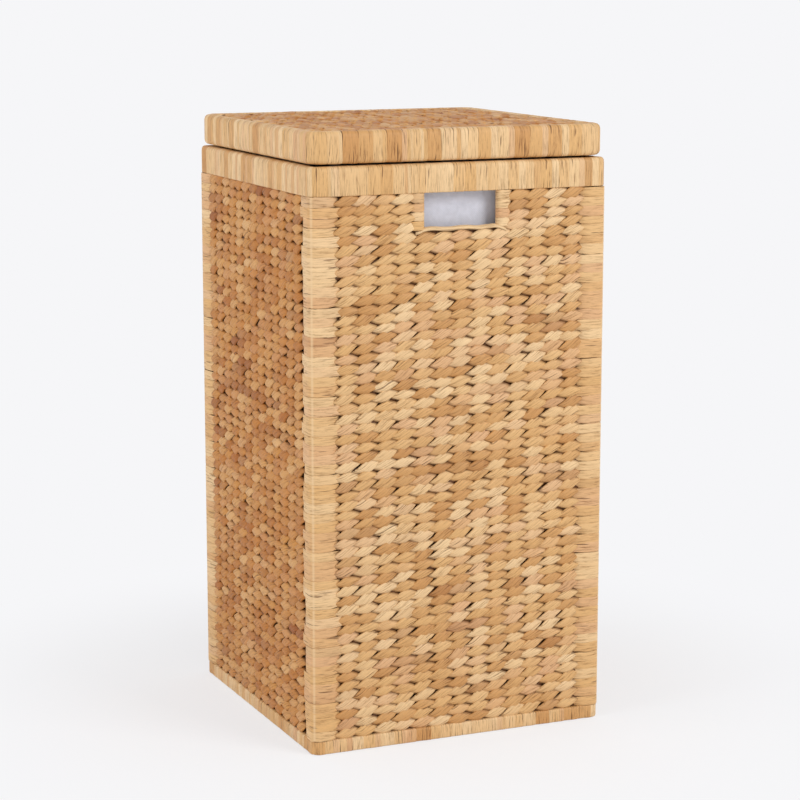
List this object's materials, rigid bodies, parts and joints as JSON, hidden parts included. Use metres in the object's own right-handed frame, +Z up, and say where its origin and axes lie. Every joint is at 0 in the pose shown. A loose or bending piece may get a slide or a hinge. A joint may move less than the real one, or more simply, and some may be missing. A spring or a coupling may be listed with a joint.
{
  "type": "woven laundry hamper",
  "caption": "Tall square laundry hamper, twined water-hyacinth walls on a steel rod frame, wrapped rim and base, two hand slots, sewn cotton liner and a hinged woven lid.",
  "frame": {"origin": "on the floor, under the middle of the hamper's square plan", "axes": "+Z up; +X towards the right hand slot; +Y towards the hinge, -Y towards the front that is opened"},
  "size_m": [0.33, 0.33, 0.6345],
  "materials": {
    "frame_rod": "black powder-coated mild steel rod, satin",
    "stake_cane": "peeled rattan cane, matt",
    "woven_fibre": "dried water hyacinth stems, twined, satin lacquer",
    "bound_strand": "flattened water hyacinth strands, wrapped, satin lacquer",
    "liner_cotton": "plain-weave cotton, pale grey",
    "fastener_tape": "white hook-and-loop tape"
  },
  "bodies": {
    "hamper": {"corner_post_front": "frame_rod", "corner_post_right": "frame_rod", "corner_post_back": "frame_rod", "corner_post_left": "frame_rod", "rim_rod_front": "frame_rod", "rim_rod_right": "frame_rod", "rim_rod_back": "frame_rod", "rim_rod_left": "frame_rod", "base_rod_front": "frame_rod", "base_rod_right": "frame_rod", "base_rod_back": "frame_rod", "base_rod_left": "frame_rod", "stakes_front": "stake_cane", "stakes_right": "stake_cane", "stakes_back": "stake_cane", "stakes_left": "stake_cane", "weave_front": "woven_fibre", "weave_right": "woven_fibre", "weave_back": "woven_fibre", "weave_left": "woven_fibre", "corner_wrap_front": "bound_strand", "corner_wrap_right": "bound_strand", "corner_wrap_back": "bound_strand", "corner_wrap_left": "bound_strand", "rim_wrap_front": "bound_strand", "rim_wrap_right": "bound_strand", "rim_wrap_back": "bound_strand", "rim_wrap_left": "bound_strand", "base_wrap_front": "bound_strand", "base_wrap_right": "bound_strand", "base_wrap_back": "bound_strand", "base_wrap_left": "bound_strand", "slot_binding_right": "bound_strand", "slot_binding_left": "bound_strand", "bottom_weave": "woven_fibre", "bottom_stakes": "stake_cane", "liner_front": "liner_cotton", "liner_right": "liner_cotton", "liner_back": "liner_cotton", "liner_left": "liner_cotton", "liner_floor": "liner_cotton", "liner_hem": "liner_cotton", "liner_strips": "fastener_tape", "hinge_loop_left": "bound_strand", "hinge_loop_right": "bound_strand"},
    "lid": {"lid_wrap_front": "bound_strand", "lid_wrap_right": "bound_strand", "lid_wrap_back": "bound_strand", "lid_wrap_left": "bound_strand", "lid_rod_front": "frame_rod", "lid_rod_right": "frame_rod", "lid_rod_left": "frame_rod", "lid_hinge_rod": "frame_rod", "lid_weave": "woven_fibre", "lid_stakes": "stake_cane"}
  },
  "joints": [
    {"name": "lid_hinge", "type": "hinge", "parent": "hamper", "child": "lid", "pos_m": [0, 0.158, 0.6075], "axis": [-1, 0, 0], "range_deg": [0, 105]}
  ]
}
